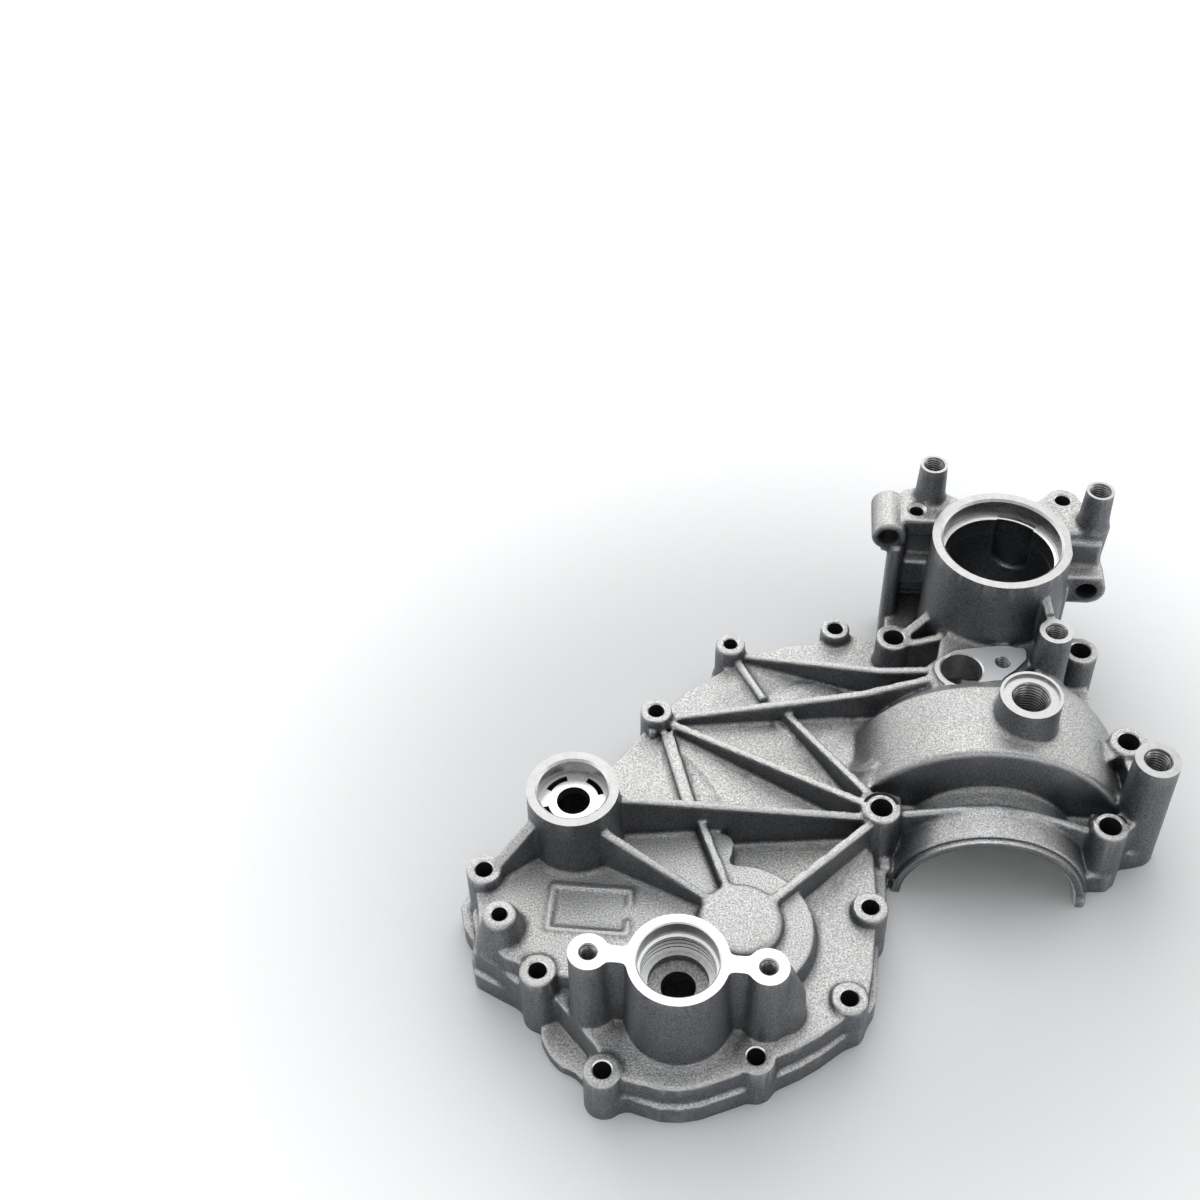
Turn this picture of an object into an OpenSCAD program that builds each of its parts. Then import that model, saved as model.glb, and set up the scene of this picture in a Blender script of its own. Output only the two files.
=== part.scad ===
// Cast and machined outer half of a small gearbox housing, one piece of metal.
// All sizes are in millimetres. The half round shaft seat has its axis on Y at the origin,
// and z = 0 is the joint face. The wide plate lies to the left (-X), the tower to the back (+Y).

/* [Overall reach] */
// Reach of the plate to the left of the seat axis, to the outer edge of the flange
plate_reach = 200; // [180:1:230]
// Reach of the tower axis behind the front face of the seat
tower_reach = 118.6; // [112:0.2:130]

/* [Shaft seat and dome] */
// Radius of the half round shaft seat in the joint face
seat_r = 32.5; // [28:0.5:34]
// Outer radius of the dome behind the seat
dome_r = 55.5; // [52:0.5:57]
// Length of the seat collar, from its front face to the dome wall
collar_len = 25.4; // [22:0.2:27]

/* [Bearing rings and tower] */
// Bore radius of the front bearing ring
ring_a_r = 14.0; // [12:0.1:15]
// Bore radius of the left bearing ring
ring_b_r = 13.0; // [11:0.1:14]
// Bore radius of the tower seat
tower_r = 23.5; // [21:0.1:24.5]
// Height of the two bearing rings over the joint face
ring_top = 58.5; // [54:0.5:62]
// Height of the tower rim over the joint face
tower_top = 77; // [74:0.5:82]

/* [Walls and ribs] */
// Thickness of the cast walls and plates
wall = 4.6; // [3.6:0.2:6]
// Thickness of the stiffening ribs
rib_t = 3.3; // [2.4:0.1:5]
// Thickness of the bolted flange along the joint face
flange_h = 10; // [7:0.5:12]

/* [Plate levels] */
// Height of the wide lower plate
low_z = 20.5; // [18:0.5:22]
// Height of the raised front left plate
high_z = 30; // [27:0.5:32]
// Height of the thin foot between two bolt lobes
foot_h = 5; // [3:0.5:8]

/* [Screw holes] */
// Radius of the small clearance holes, for 6 mm screws
m6_r = 3.3; // [3.1:0.05:3.6]
// Radius of the large clearance holes, for 8 mm screws
m8_r = 4.2; // [4.05:0.05:4.6]
// Core radius of the 10 mm tapped hole in the side boss
m10_core_r = 4.35; // [4.1:0.05:4.6]
// Core radius of the 8 mm tapped holes
m8_core_r = 3.45; // [3.2:0.05:3.7]
// Core radius of the 6 mm tapped holes in the ears
m6_core_r = 2.55; // [2.4:0.05:2.8]
// Core radius of the 14 mm tapped plug hole
plug_core_r = 6.4; // [6:0.05:6.6]

/* [Hidden] */
eps = 0.05;
// Height that cutters run past the metal
cut = tower_top;
// What the two reaches add to the drawn part
plate_more = plate_reach - 200;
tower_more = tower_reach - 118.6;
cast_grey = [0.70, 0.70, 0.69];
fine = 96;
mid = 60;
small = 40;

// Place of a drawn point once both reaches are set: the zones next to the seat stay, the left end
// and the tower move as they are, and what lies between them stretches
function at(p) = [
    p[0] > -50 ? p[0] : p[0] > -76 ? -50 + (p[0] + 50) * (26 + plate_more) / 26 : p[0] - plate_more,
    p[1] < 62 ? p[1] : p[1] < 97 ? 62 + (p[1] - 62) * (35 + tower_more) / 35 : p[1] + tower_more
];
function all_at(pts) = [for (p = pts) at(p)];

// Centres of the two bearing rings, of the ears beside the front ring and of the tower
ring_a = [-113.3, -73.7];
ring_b = [-157.3, -6.0];
ears = [[-143.7, -73.5], [-83.1, -73.9]];
tower = [2.9, 118.6];
// Centres of the tower's posts, its dowel hole and its pin hole
posts = [[-24.7, 146.7], [40.6, 135.0]];
dowel_hole = [30.0, 148.6];
pin_hole = [-30.1, 138.6];
// Centres of the side boss, the boss beside the tower, the plug and the two holes of the big pad
side_boss = [56.4, 27.1];
near_boss = [23.4, 82.6];
plug = [10.1, 44.5];
pad_hole = [-11.4, 75.3];
pad_screw = [5.0, 80.1];
// Centre of the round domed pad
dome_pad = [-93.6, -41.1];
ring_wall = 3.6;
ring_b_wall = 4.1;
tower_wall = 4.3;
tower_z = tower_top - 4;
// Radius of the opening under the tower seat
tower_core_r = tower_r - 1.6;
// Radius of the round step of the raised plate under the domed pad, and height of the pad
dome_step_r = 26.6;
pad_dome_z = high_z + 5;
// Outside radius of the seat collar
collar_r = seat_r + 4.8;
// Height of the big machined pad beside the tower
pad_z = 46;
// Heights of the plug boss, the side boss and the boss beside the tower
plug_top = 68;
side_top = 55.6;
near_top = 63;
// Heights of the two side lug axes
lug_left_z = tower_z - 6.6;
lug_right_z = 50;
lug_len = 22;
// Height of the posts over the tower plate
post_h = 18;

// Through bolt bosses: x, y, top height, hole radius, boss radius at the top
bolts = [
    [-188.5, -29.0, 36.5, m6_r, 6.6],
    [-178.8, -51.0, 42.0, m6_r - 0.4, 6.1],
    [-163.6, -66.4, high_z + 2, m6_r, 6.7],
    [-137.6, -97.2, low_z + 2.1, m6_r, 6.7],
    [-85.5, -86.7, low_z + 0.8, m6_r, 6.7],
    [-53.8, -62.3, low_z + 2.5, m6_r, 6.6],
    [-46.5, -26.1, 26.0, m6_r, 6.6],
    [-42.7, 13.0, 34.5, m8_r, 7.5],
    [42.1, 13.0, 32.5, m8_r, 6.8],
    [52.1, 49.9, 38.0, m8_r, 7.4],
    [-60.2, 112.6, 26.0, m6_r, 6.2],
    [-36.8, 99.6, 36.5, m8_r, 7.25],
    [38.8, 98.0, 36.5, m8_r, 7.1],
    [-132.3, 58.0, 29.3, m6_r, 6.5],
    [-104.2, 97.4, 29.0, m6_r - 0.4, 6.3]
];

// Outline of the joint flange, seen from above
flange_pts = [
    [-197.5, -22], [-200, -29], [-197, -38], [-192.5, -44], [-192, -51], [-190, -57],
    [-180.5, -61.5], [-171.5, -65.5], [-167, -72], [-158.5, -71], [-156.5, -70], [-150, -77],
    [-144, -83.5], [-144.5, -97], [-138, -103.5], [-132.5, -102], [-129, -100.7],
    [-124.5, -101.8], [-117.5, -103.4], [-110.5, -103.1], [-103.5, -101.3], [-90, -95],
    [-83, -91.2], [-69.5, -83.2], [-62.5, -78], [-54, -70.4], [-48.6, -67.6], [-45.5, -60],
    [-43.5, -56], [-42.8, -49], [-42.3, -33], [-39.6, -26], [-38.8, -20], [-39, -3],
    [-38.8, 3], [38.4, 4.9], [45.3, 5.4], [48.7, 9], [51.2, 16], [57.5, 17.6], [62.5, 20.8],
    [66, 26.6], [64.5, 33], [61, 39.5], [61, 47], [59.6, 54], [55, 60], [49.6, 68], [47.6, 78],
    [46.6, 90], [46, 100], [42, 107], [35, 113], [36, 124], [37.6, 136], [34, 152],
    [24, 155], [8, 153], [-5, 153], [-18, 153.5], [-30, 151], [-36.5, 148], [-37.6, 140],
    [-39.4, 120], [-45, 113], [-52, 117], [-60, 119.6], [-67, 116.6], [-70, 110.4],
    [-79.5, 108.5], [-90, 105], [-98, 104.5], [-106, 104.8], [-111.4, 100], [-112.6, 89],
    [-122, 78.5], [-131, 66.6], [-138, 63.5], [-140.4, 56], [-150, 38], [-165, 23],
    [-179.6, 7], [-187.4, -10], [-192.5, -16.6]
];

// Outline of the lower plate and its walls
low_pts = [
    [-187.5, -20], [-184.4, -13], [-178.4, 4.5], [-163.6, 20], [-148.6, 34.6],
    [-139.2, 50.4], [-130.4, 64.6], [-122.3, 76], [-111.2, 85.4], [-100, 96.2],
    [-89.6, 102.8], [-79, 106.6], [-69.3, 108], [-61, 114], [-53.2, 114.5], [-43.8, 112],
    [-39, 120], [-37.2, 136], [-36.6, 146], [-30, 149], [-18, 151], [-5, 150.6], [8, 150.6], [24, 152.6],
    [32, 149], [35.6, 135], [34.2, 124], [33.6, 113], [40, 104], [43.6, 96], [44.4, 88],
    [45.4, 78], [47.6, 68], [52, 60], [57, 54], [58.4, 42], [60, 32], [56, 21], [50, 17],
    [42, 15.2], [-41, 15.2], [-44, 8], [-46.6, 3.6], [-44.6, 1], [-43.6, -15], [-42.4, -26],
    [-44.4, -33], [-45.4, -49], [-46.8, -58], [-51, -65.4], [-55.6, -69.6], [-64, -76.8],
    [-70.6, -81.4], [-84, -89.4], [-91, -93.4], [-103.6, -99.4], [-110.8, -101.3],
    [-117.4, -101.5], [-124.3, -100.2], [-130.4, -99.4], [-138.4, -93], [-140.2, -88.6],
    [-145, -83.4], [-150.8, -77.6], [-157, -71], [-166, -70], [-181, -59.4], [-190, -54.6],
    [-190.4, -46], [-193, -38]
];

// Outline of the raised front left plate
high_pts = concat([
    [-191.3, -34], [-189.1, -41.9], [-187.7, -50.9], [-183.7, -56.3], [-176.3, -61.3],
    [-170.4, -63.5], [-163.8, -66.9], [-157, -67.2], [-153.1, -66.9], [-148.2, -70.3],
    [-142.8, -74.8], [-112.9, -70.9], [-84, -72.9], [-76.1, -67.3]],
    [for (a = [-40 : 6 : 98]) dome_pad + dome_step_r * [cos(a), sin(a)]], [
    [-98.6, -13.2], [-97.9, -9.3], [-97.4, -5.4], [-98.3, -3], [-100.3, -1.2], [-103.2, -0.3],
    [-105.6, 0.8], [-110, 1.2],
    [-116.6, 0.2], [-139.6, -3.1], [-146.8, 8.3], [-158.8, 13.5], [-169.8, 8.5],
    [-176.9, -2.1], [-182.6, -19.3], [-187.7, -24]]);

// Inner outlines of the hollow under the lower and the raised plate
low_hollow = [
    [-181, -20], [-173.6, 1.4], [-158.6, 16.8], [-144.6, 31.4], [-134.4, 48.6],
    [-118.4, 71.4], [-107, 80.6], [-86.6, 97.6], [-68, 102.6], [-52, 107.4],
    [-41, 107.8], [-40, 88], [-54, 60], [-54, 22], [-50, 3], [-46.6, -12],
    [-47.4, -24], [-50.4, -34], [-51, -48], [-53.6, -58.6], [-62, -69.4],
    [-75, -79], [-90, -87.6], [-104.4, -94], [-117.4, -95.8], [-128, -93.4],
    [-134.8, -88.6], [-142, -78.6], [-151.6, -69], [-163, -62.4], [-180, -53],
    [-185.4, -46.6], [-187, -36]
];
high_hollow = [
    [-185.6, -36], [-184.4, -47.6], [-173.6, -55.4], [-163, -60.4], [-151.6, -61.6],
    [-140, -66], [-113, -62], [-84, -62.4], [-76.4, -56], [-71.6, -46.6],
    [-71.6, -38], [-76, -27], [-84, -20.5], [-94, -18.6], [-103, -16], [-103.4, -5.6],
    [-107, -3.6], [-139.6, -9.4],
    [-150, 4.6], [-166, 4.4], [-172.4, -4], [-178.6, -20.4]
];

// Outline of the thin foot between two bolt lobes
foot_pts = [
    [-163.1, -73], [-162.4, -78.2], [-160.9, -80.8], [-158.6, -84.1], [-156.1, -86.6],
    [-153.7, -88.3], [-150.7, -89.2], [-148.1, -90.5], [-146.4, -92.2], [-144, -94],
    [-140, -84], [-150, -70], [-158, -66]
];

// Finished outline of the big machined pad, and the rough block that carries it
pad_pts = [
    [-22.2, 73.7], [-22.0, 77.4], [-19.8, 80.3], [-13.6, 85.2], [-1.6, 87.8], [5, 89.4],
    [8.4, 89.6], [12.2, 87.2], [15.0, 83.1], [9.8, 76.6], [4.4, 71.6], [-2.8, 68.4],
    [-12.6, 66.0], [-17.0, 66.4], [-20.3, 68.6]
];
pad_block_pts = [
    [-24.4, 73.4], [-24, 79], [-20.6, 82.4], [-19, 92], [-14, 100], [20, 100], [22, 88],
    [17.4, 82.4], [11.2, 74.8], [5, 69.6], [-2.4, 66.4], [-13, 63.8], [-18.8, 64.4],
    [-22.6, 67.4]
];

// A stiffening rib from p to q with straight sloping top, standing on z0
module rib(p, q, za, zb, t = rib_t, z0 = low_z - 2) {
    a = at(p);
    d = at(q) - a;
    len = norm(d);
    translate([a[0], a[1], 0])
        rotate([0, 0, atan2(d[1], d[0])])
            rotate([90, 0, 0])
                linear_extrude(height = t, center = true)
                    polygon([[0, z0], [len, z0], [len, zb], [0, za]]);
}

// Turned body, cone or cylinder, standing over a drawn point
module stud(p, z, h, r1, r2, f = mid) {
    a = at(p);
    translate([a[0], a[1], z])
        cylinder(h = h, r1 = r1, r2 = r2, $fn = f);
}

// Half of a turned body round the seat axis, from a radius and length profile
module seat_turn(profile) {
    rotate([-90, 0, 0])
        rotate([0, 0, 180])
            rotate_extrude(angle = 180, $fn = fine)
                polygon(profile);
}

// Drafted bank from p to q: a wedge whose foot runs on the line and leans to the right of it
module bank(p, q, w, z_foot, z_top) {
    d = q - p;
    translate([p[0], p[1], 0])
        rotate([0, 0, atan2(d[1], d[0])])
            rotate([90, 0, 90])
                linear_extrude(height = norm(d))
                    polygon([[0, 0], [0, z_foot], [-w, z_top], [-w, 0]]);
}

// Raised bead of constant width along a run of points
module bead(pts, w, z0, z1) {
    for (i = [0 : len(pts) - 2]) {
        rib(pts[i], pts[i + 1], z1, z1, w, z0);
        stud(pts[i], z0, z1 - z0, w / 2, w / 2, 20);
    }
    stud(pts[len(pts) - 1], z0, z1 - z0, w / 2, w / 2, 20);
}

// Flange, foot and the two plate levels as one outer shell
module outer_shell() {
    linear_extrude(height = flange_h)
        polygon(all_at(flange_pts));
    linear_extrude(height = low_z)
        polygon(all_at(low_pts));
    linear_extrude(height = high_z)
        polygon(all_at(high_pts));
    linear_extrude(height = foot_h)
        polygon(all_at(foot_pts));
    // dome and seat collars
    seat_turn([
        [0, -1.3], [collar_r - 0.8, -1.3], [collar_r - 0.8, -0.3], [collar_r - 1.5, 0],
        [collar_r - 1.5, 0.7], [collar_r, 1.0], [collar_r, 12.6], [collar_r - 2.1, 13.2],
        [collar_r - 2.1, collar_len - 1.6], [collar_r - 1.3, collar_len - 0.3],
        [dome_r - 1.2, collar_len], [dome_r, collar_len + 1.4], [dome_r, 58.6],
        [dome_r - 1.4, 60], [34.6, 84], [0, 84]
    ]);
    // the left flank of the dome is drafted out towards the plate
    bank([-57.4, 21.4], [-57.2, 38.6], 11, low_z - 1, 31.5);
    bank([-57.2, 38], [-39.6, 71.4], 13, low_z - 1, 34);
    // the right flank of the dome bulges out behind the seam
    intersection() {
        seat_turn([
            [0, 30], [dome_r, 30], [dome_r, 58.6], [dome_r - 1, 64], [dome_r - 3.2, 70],
            [dome_r - 6.6, 76], [dome_r - 11, 82], [dome_r - 17.5, 88], [0, 88]
        ]);
        translate([17, 20, -1])
            cube([60, 80, 70]);
    }
    // round step under the domed pad
    stud(dome_pad, low_z - 1, high_z - low_z + 0.8, dome_step_r + 2, dome_step_r + 0.05, fine);
    // tower shaft and the block under the big pad
    stud(tower, 0, tower_top, tower_r + tower_wall + 1.4, tower_r + tower_wall, fine);
    linear_extrude(height = pad_z - 2)
        polygon(all_at(pad_block_pts));
    linear_extrude(height = pad_z)
        polygon(all_at(pad_pts));
}

// Everything that is empty inside the shell, open to the joint face
module hollow() {
    translate([0, 0, -eps])
        linear_extrude(height = low_z - wall + eps)
            polygon(all_at(low_hollow));
    translate([0, 0, -eps])
        linear_extrude(height = high_z - wall + eps)
            polygon(all_at(high_hollow));
    // inside of the dome
    seat_turn([
        [0, collar_len + wall], [dome_r - wall, collar_len + wall], [dome_r - wall, 57],
        [36, 78], [30, 84], [0, 84]
    ]);
    // passage from the tower to the dome
    translate([-20, 70, -eps])
        cube([34, 34 + tower_more, 30]);
}

// Shallow sunk field of the lower plate, bounded by two ribs and a soft arc
module low_field() {
    translate([0, 0, low_z - 0.8])
        linear_extrude(height = 4)
            polygon(all_at([[-127, 50.6], [-124.4, 47], [-121.6, 44.5], [-117.3, 40.2],
                [-112.9, 35.5], [-108.6, 29.4], [-104.2, 22.4], [-101.6, 15], [-100.6, 3.4],
                [-110.4, 2.0], [-111.2, 3.4]]));
}

// Long bolt bosses and lugs that run down to the joint face
module bosses() {
    for (b = bolts)
        stud(b, 0, b[2], b[4] + 0.6, b[4]);
    // the two beside the seat have a square back
    for (b = [bolts[7], bolts[8]])
        translate([b[0] - b[4], b[1], 0])
            cube([2 * b[4], b[4] - 0.6, b[2] - 1.2]);
    // cone round the second boss on the left
    stud([-178.6, -50.6], high_z - 8.5, 18, 10.2, 6.6);
    // two small steps and the foot tab beside the seat
    translate([-seat_r - 9.7, 1.2, 0])
        cube([5, 6, 12]);
    translate([-seat_r - 9.1, -3, 0])
        cube([3.6, 5, 7]);
    translate([seat_r - 0.4, -2.4, 0])
        cube([4.6, 4, 4]);
    // tapped side boss
    stud(side_boss, 0, side_top, 9.4, 8.5);
    // wall between the right seat boss and the side boss
    rib([42.1, 13], side_boss, 27, 27, 8, 0);
    rib([52.1, 49.9], side_boss, 36, 36, 8, 0);
    rib([52.1, 49.9], [40, 44], 36, 36, 8, 10);
    // tapped boss beside the tower
    stud(near_boss, 0, near_top, 8.4, 6.56);
    // plug boss on the dome
    stud(plug, 46, plug_top - 46, 12.4, 11.7, fine);
}

// The two bearing rings with the ears of the front one
module rings() {
    stud(ring_a, 6, ring_top - 5, ring_a_r + ring_wall + 1.9, ring_a_r + ring_wall, fine);
    for (e = ears) {
        stud(e, 6, ring_top - 5, 8.2, 7.1);
        rib(e, ring_a, ring_top + 1, ring_top + 1, 6.4, 9);
    }
    // lobe that carries the right ear
    stud([-77.6, -69.7], low_z - 1.5, 17, 8.8, 8.1);
    stud([-77.9, -70], low_z + 15.2, 16.2, 8.1, 3);
    stud(ring_b, 10, ring_top - 10, ring_b_r + ring_b_wall + 1.2, ring_b_r + ring_b_wall, fine);
    // web from the left ring to the corner boss
    rib([-187, -29.5], [-168, -13.6], 34.5, ring_top - 5, 4.6, 20);
}

// Tower head: plate, two posts, two side lugs and their columns
module tower_head() {
    translate([0, 0, tower_z - 8])
        linear_extrude(height = 8)
            polygon(all_at([[-35.6, 131.6], [-35.6, 151], [-27, 153.4], [-18.5, 150.4], [-9, 144],
                [16, 144], [23.4, 151.4], [30, 155.6], [37, 150], [40, 142], [45.4, 137],
                [44.8, 130], [28.6, 128], [26, 108], [-22, 108], [-22.4, 131.6]]));
    // posts
    for (p = posts) {
        stud(p, tower_z - 24, 24, 6.2, 7.2);
        stud(p, tower_z - 0.5, 4, 7.2, 6.1);
        stud(p, tower_z, post_h, 6.4, 5.6);
    }
    stud(dowel_hole, 20, tower_z - 20, 6.6, 7.0);
    translate([0, tower_more, 0])
        lugs();
}

// The two side lugs of the tower with the columns and walls that carry them
module lugs() {
    // left lug on its half round column, with the wall behind it
    translate([-41.2, 127.6, lug_left_z])
        rotate([-90, 0, 0])
            cylinder(h = lug_len, r = 7.1, $fn = mid);
    translate([-44, 129, lug_left_z - 9.4])
        cube([10, lug_len - 2, 9]);
    translate([-37.6, 129.4, 0])
        cylinder(h = lug_left_z - 5.4, r = 3.3, $fn = small);
    translate([-39.4, 129.4, 0])
        cube([5.2, 17, lug_left_z - 6.4]);
    translate([-37.4, 142, 0])
        cube([24, 5.4, tower_z - 5]);
    // wall and bridge between the column and the tower
    translate([-36, 134, 30])
        cube([15, 9, tower_z - 37]);
    translate([-36, 128.4, 40])
        cube([14, 8, 12.6]);
    // right lug on its arm
    translate([41.0, 118.8, lug_right_z])
        rotate([-90, 0, 0])
            cylinder(h = 13, r = 7.5, $fn = mid);
    translate([28, 118.8, lug_right_z - 7.5])
        cube([13, 13, 15]);
    translate([40, 118.8, lug_right_z])
        cube([6.4, 13, 7.5]);
    translate([21, 112.4, 0])
        cube([11.2, 14, lug_right_z + 7]);
    translate([30, 126, lug_right_z - 7.5])
        cube([14.6, 9, tower_z - lug_right_z + 4]);
}

// Straight stiffening ribs on the outside
module ribs() {
    rib([-146, -4.1], [-50, 9.8], ring_top - 6.5, 32.6);
    rib([-150, -16], [-104.4, -34.24], ring_top - 6.5, pad_dome_z + 0.5, rib_t, high_z - 2);
    rib([-47, 6.5], [-83.4, -33.2], 32.4, pad_dome_z + 0.6);
    rib([-111, 1], [-98.5, -29.3], 37, pad_dome_z + 0.4, rib_t, high_z - 2);
    rib([-128, 56.8], [-44, 11.8], 24.6, 35.4);
    rib([-127, 58.9], [-48, 69.88], 24.6, 34.45);
    rib([-53, 69.4], [-22, 71.6], 33.1, pad_z - 1.4);
    rib([-99, 96], [-39.5, 80.76], 24, 36.53);
    rib([-45, 82.14], [-20, 76], 34.83, pad_z - 1.4);
    rib([-101.6, 94], [-89, 72.6], 24, 24);
    rib([-80.6, 65.6], [-46, 19], 25.6, 33);
    rib([-127.6, 52], [-110.8, 1.6], 23.6, 23.6, 5);
    rib([23.4, 86], [18.6, 99], near_top - 3, tower_z - 2, 3.6, 20);
    rib([-33, 97], [-6, 99], 35.4, pad_z - 2, 3.6, 10);
    rib([-34, 101], [-19.6, 109.2], 35, pad_z, 4.2, 10);
    // rib across the seat collar from bolt boss to bolt boss
    rotate([90, 0, 0])
        translate([0, 0, -15.4])
            linear_extrude(height = 3)
                difference() {
                    polygon([[-43, 4], [-43, 28.6], [-30, 31.8], [-14, 36], [0, 37.9],
                        [14, 35.8], [30, 30.3], [42, 25.4], [42, 4]]);
                    circle(r = seat_r + 1.5, $fn = fine);
                }
    // low round field crossed by the long back rib, and a small nub beside the left back boss
    stud([-69.5, 69.5], low_z - 1, 1.5, 15.8, 15.8, fine);
    stud([-133.2, 51.2], low_z - 2, 6.2, 2.0, 1.6, 20);
    // bead frame of the bare label field, and the domed pad beside it
    bead([[-133.9, -35.8], [-133.9, -29.9], [-162.8, -29.9], [-162.8, -48.4], [-133.9, -48.4],
        [-133.9, -43.2]], 1.8, high_z - 0.5, high_z + 1.0);
    stud(dome_pad, high_z - 6, pad_dome_z - high_z + 5.7, 15.5, 15.5, fine);
    stud(dome_pad, pad_dome_z - 0.3, 1.2, 15.5, 13.2, fine);
}

// Holes, bores and machined faces
module machining() {
    // half round seat and the opening through the dome wall
    translate([0, -10, 0])
        rotate([-90, 0, 0])
            cylinder(h = 10 + collar_len + wall + 1, r = seat_r, $fn = fine);
    for (b = bolts)
        stud(b, -eps, b[2] + cut, b[3], b[3], small);
    // one flush face over the front ring and its ears
    translate([at(ring_a)[0] - 45, at(ring_a)[1] - 25, ring_top])
        cube([90, 50, 20]);
    // front ring: stepped seat, floor hole, hollow below
    stud(ring_a, ring_top - 6.6, cut, ring_a_r, ring_a_r, fine);
    stud(ring_a, ring_top - 14.9, cut, ring_a_r - 1, ring_a_r - 1, fine);
    stud(ring_a, ring_top - 13.2, 2, ring_a_r - 0.3, ring_a_r - 0.3, fine);
    stud(ring_a, ring_top - 18.1, cut, ring_a_r - 3.4, ring_a_r - 3.4, fine);
    stud(ring_a, -eps, cut, 6.1, 6.1);
    stud(ring_a, -eps, ring_top - 23, ring_a_r - 1.6, ring_a_r - 1.6);
    // left ring: seat, floor hole and four curved slots, hollow below
    stud(ring_b, ring_top - 7.5, cut, ring_b_r, ring_b_r, fine);
    stud(ring_b, -eps, cut, 6.2, 6.2);
    stud(ring_b, -eps, ring_top - 12, ring_b_r - 0.6, ring_b_r - 0.6);
    translate([at(ring_b)[0], at(ring_b)[1], ring_top - 20])
        for (a = [20 : 90 : 290])
            rotate([0, 0, a])
                rotate_extrude(angle = 48, $fn = fine)
                    translate([ring_b_r - 3.6, 0])
                        square([2.2, 15]);
    // tapped ears
    for (e = ears)
        stud(e, ring_top - 18, cut, m6_core_r, m6_core_r, small);
    // tower seat and the opening below it
    stud(tower, tower_top - 9, cut, tower_r, tower_r, fine);
    stud(tower, -eps, tower_top + cut, tower_core_r, tower_core_r, fine);
    // round ended pocket inside the tower
    translate([at(tower)[0], at(tower)[1], tower_top - 27.5])
        rotate([0, 0, 68])
            rotate([90, 0, 90])
                linear_extrude(height = tower_core_r + 2.3)
                    polygon(concat([for (a = [180 : 15 : 360]) 7.8 * [cos(a), sin(a)]],
                        [[7.8, 17], [-7.8, 17]]));
    // tapped holes
    stud(side_boss, side_top - 24, cut, m10_core_r, m10_core_r, small);
    stud(near_boss, near_top - 20, cut, m8_core_r, m8_core_r, small);
    for (p = posts)
        stud(p, tower_z + post_h - 20, cut, m8_core_r, m8_core_r, small);
    stud(plug, 40, cut, plug_core_r, plug_core_r);
    stud(plug, plug_top - 1.4, cut, 10.5, 10.5);
    // small holes of the tower head
    stud(dowel_hole, tower_z - 21, cut, m6_r - 0.15, m6_r - 0.15, small);
    stud(pin_hole, tower_z - 14, cut, 2.9, 2.9, small);
    // the big pad is milled flat, with its two holes
    translate([0, 0, pad_z])
        linear_extrude(height = 6)
            polygon(all_at(pad_pts));
    stud(pad_hole, 28, cut, 8.2, 8.2);
    stud(pad_screw, pad_z - 11, cut, 2.5, 2.5, small);
    // side lugs
    translate([-41.2, 120 + tower_more, lug_left_z])
        rotate([-90, 0, 0])
            cylinder(h = lug_len + 14, r = m8_r - 0.2, $fn = small);
    translate([40.6, 110 + tower_more, lug_right_z - 0.2])
        rotate([-90, 0, 0])
            cylinder(h = 18, r = m8_r - 0.2, $fn = small);
    // lead in chamfers: centre, top height, core radius, mouth radius
    for (m = [
        [ring_a, ring_top, ring_a_r, ring_a_r + 0.4],
        [ring_b, ring_top, ring_b_r, ring_b_r + 0.5],
        [tower, tower_top, tower_r, tower_r + 0.7],
        [ears[0], ring_top, m6_core_r, m6_core_r + 0.85],
        [ears[1], ring_top, m6_core_r, m6_core_r + 0.85],
        [side_boss, side_top, m10_core_r, m10_core_r + 1.05],
        [near_boss, near_top, m8_core_r, m8_core_r + 0.95],
        [posts[0], tower_z + post_h, m8_core_r, m8_core_r + 0.95],
        [posts[1], tower_z + post_h, m8_core_r, m8_core_r + 0.95],
        [plug, plug_top - 1.4, plug_core_r, plug_core_r + 0.9]
    ])
        stud(m[0], m[1] - (m[3] - m[2]), m[3] - m[2] + 0.02, m[2], m[3] + 0.02);
    // nothing stands below the joint face
    translate([-2 * plate_reach, -plate_reach, -cut])
        cube([4 * plate_reach, 3 * plate_reach, cut]);
}

// The finished casting
module housing_casting() {
    color(cast_grey)
        difference() {
            union() {
                difference() {
                    outer_shell();
                    hollow();
                    low_field();
                }
                bosses();
                rings();
                tower_head();
                ribs();
            }
            machining();
        }
}

housing_casting();
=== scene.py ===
import math

import bmesh
import bpy
import numpy as np
from mathutils import Matrix, Vector
from mathutils.kdtree import KDTree


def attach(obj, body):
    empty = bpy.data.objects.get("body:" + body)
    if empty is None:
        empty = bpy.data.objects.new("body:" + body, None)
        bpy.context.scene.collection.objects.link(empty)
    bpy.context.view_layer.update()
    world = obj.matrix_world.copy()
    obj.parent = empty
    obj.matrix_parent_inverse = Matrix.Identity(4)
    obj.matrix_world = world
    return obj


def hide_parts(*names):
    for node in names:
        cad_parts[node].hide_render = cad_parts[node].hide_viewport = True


MM = 0.001

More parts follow.
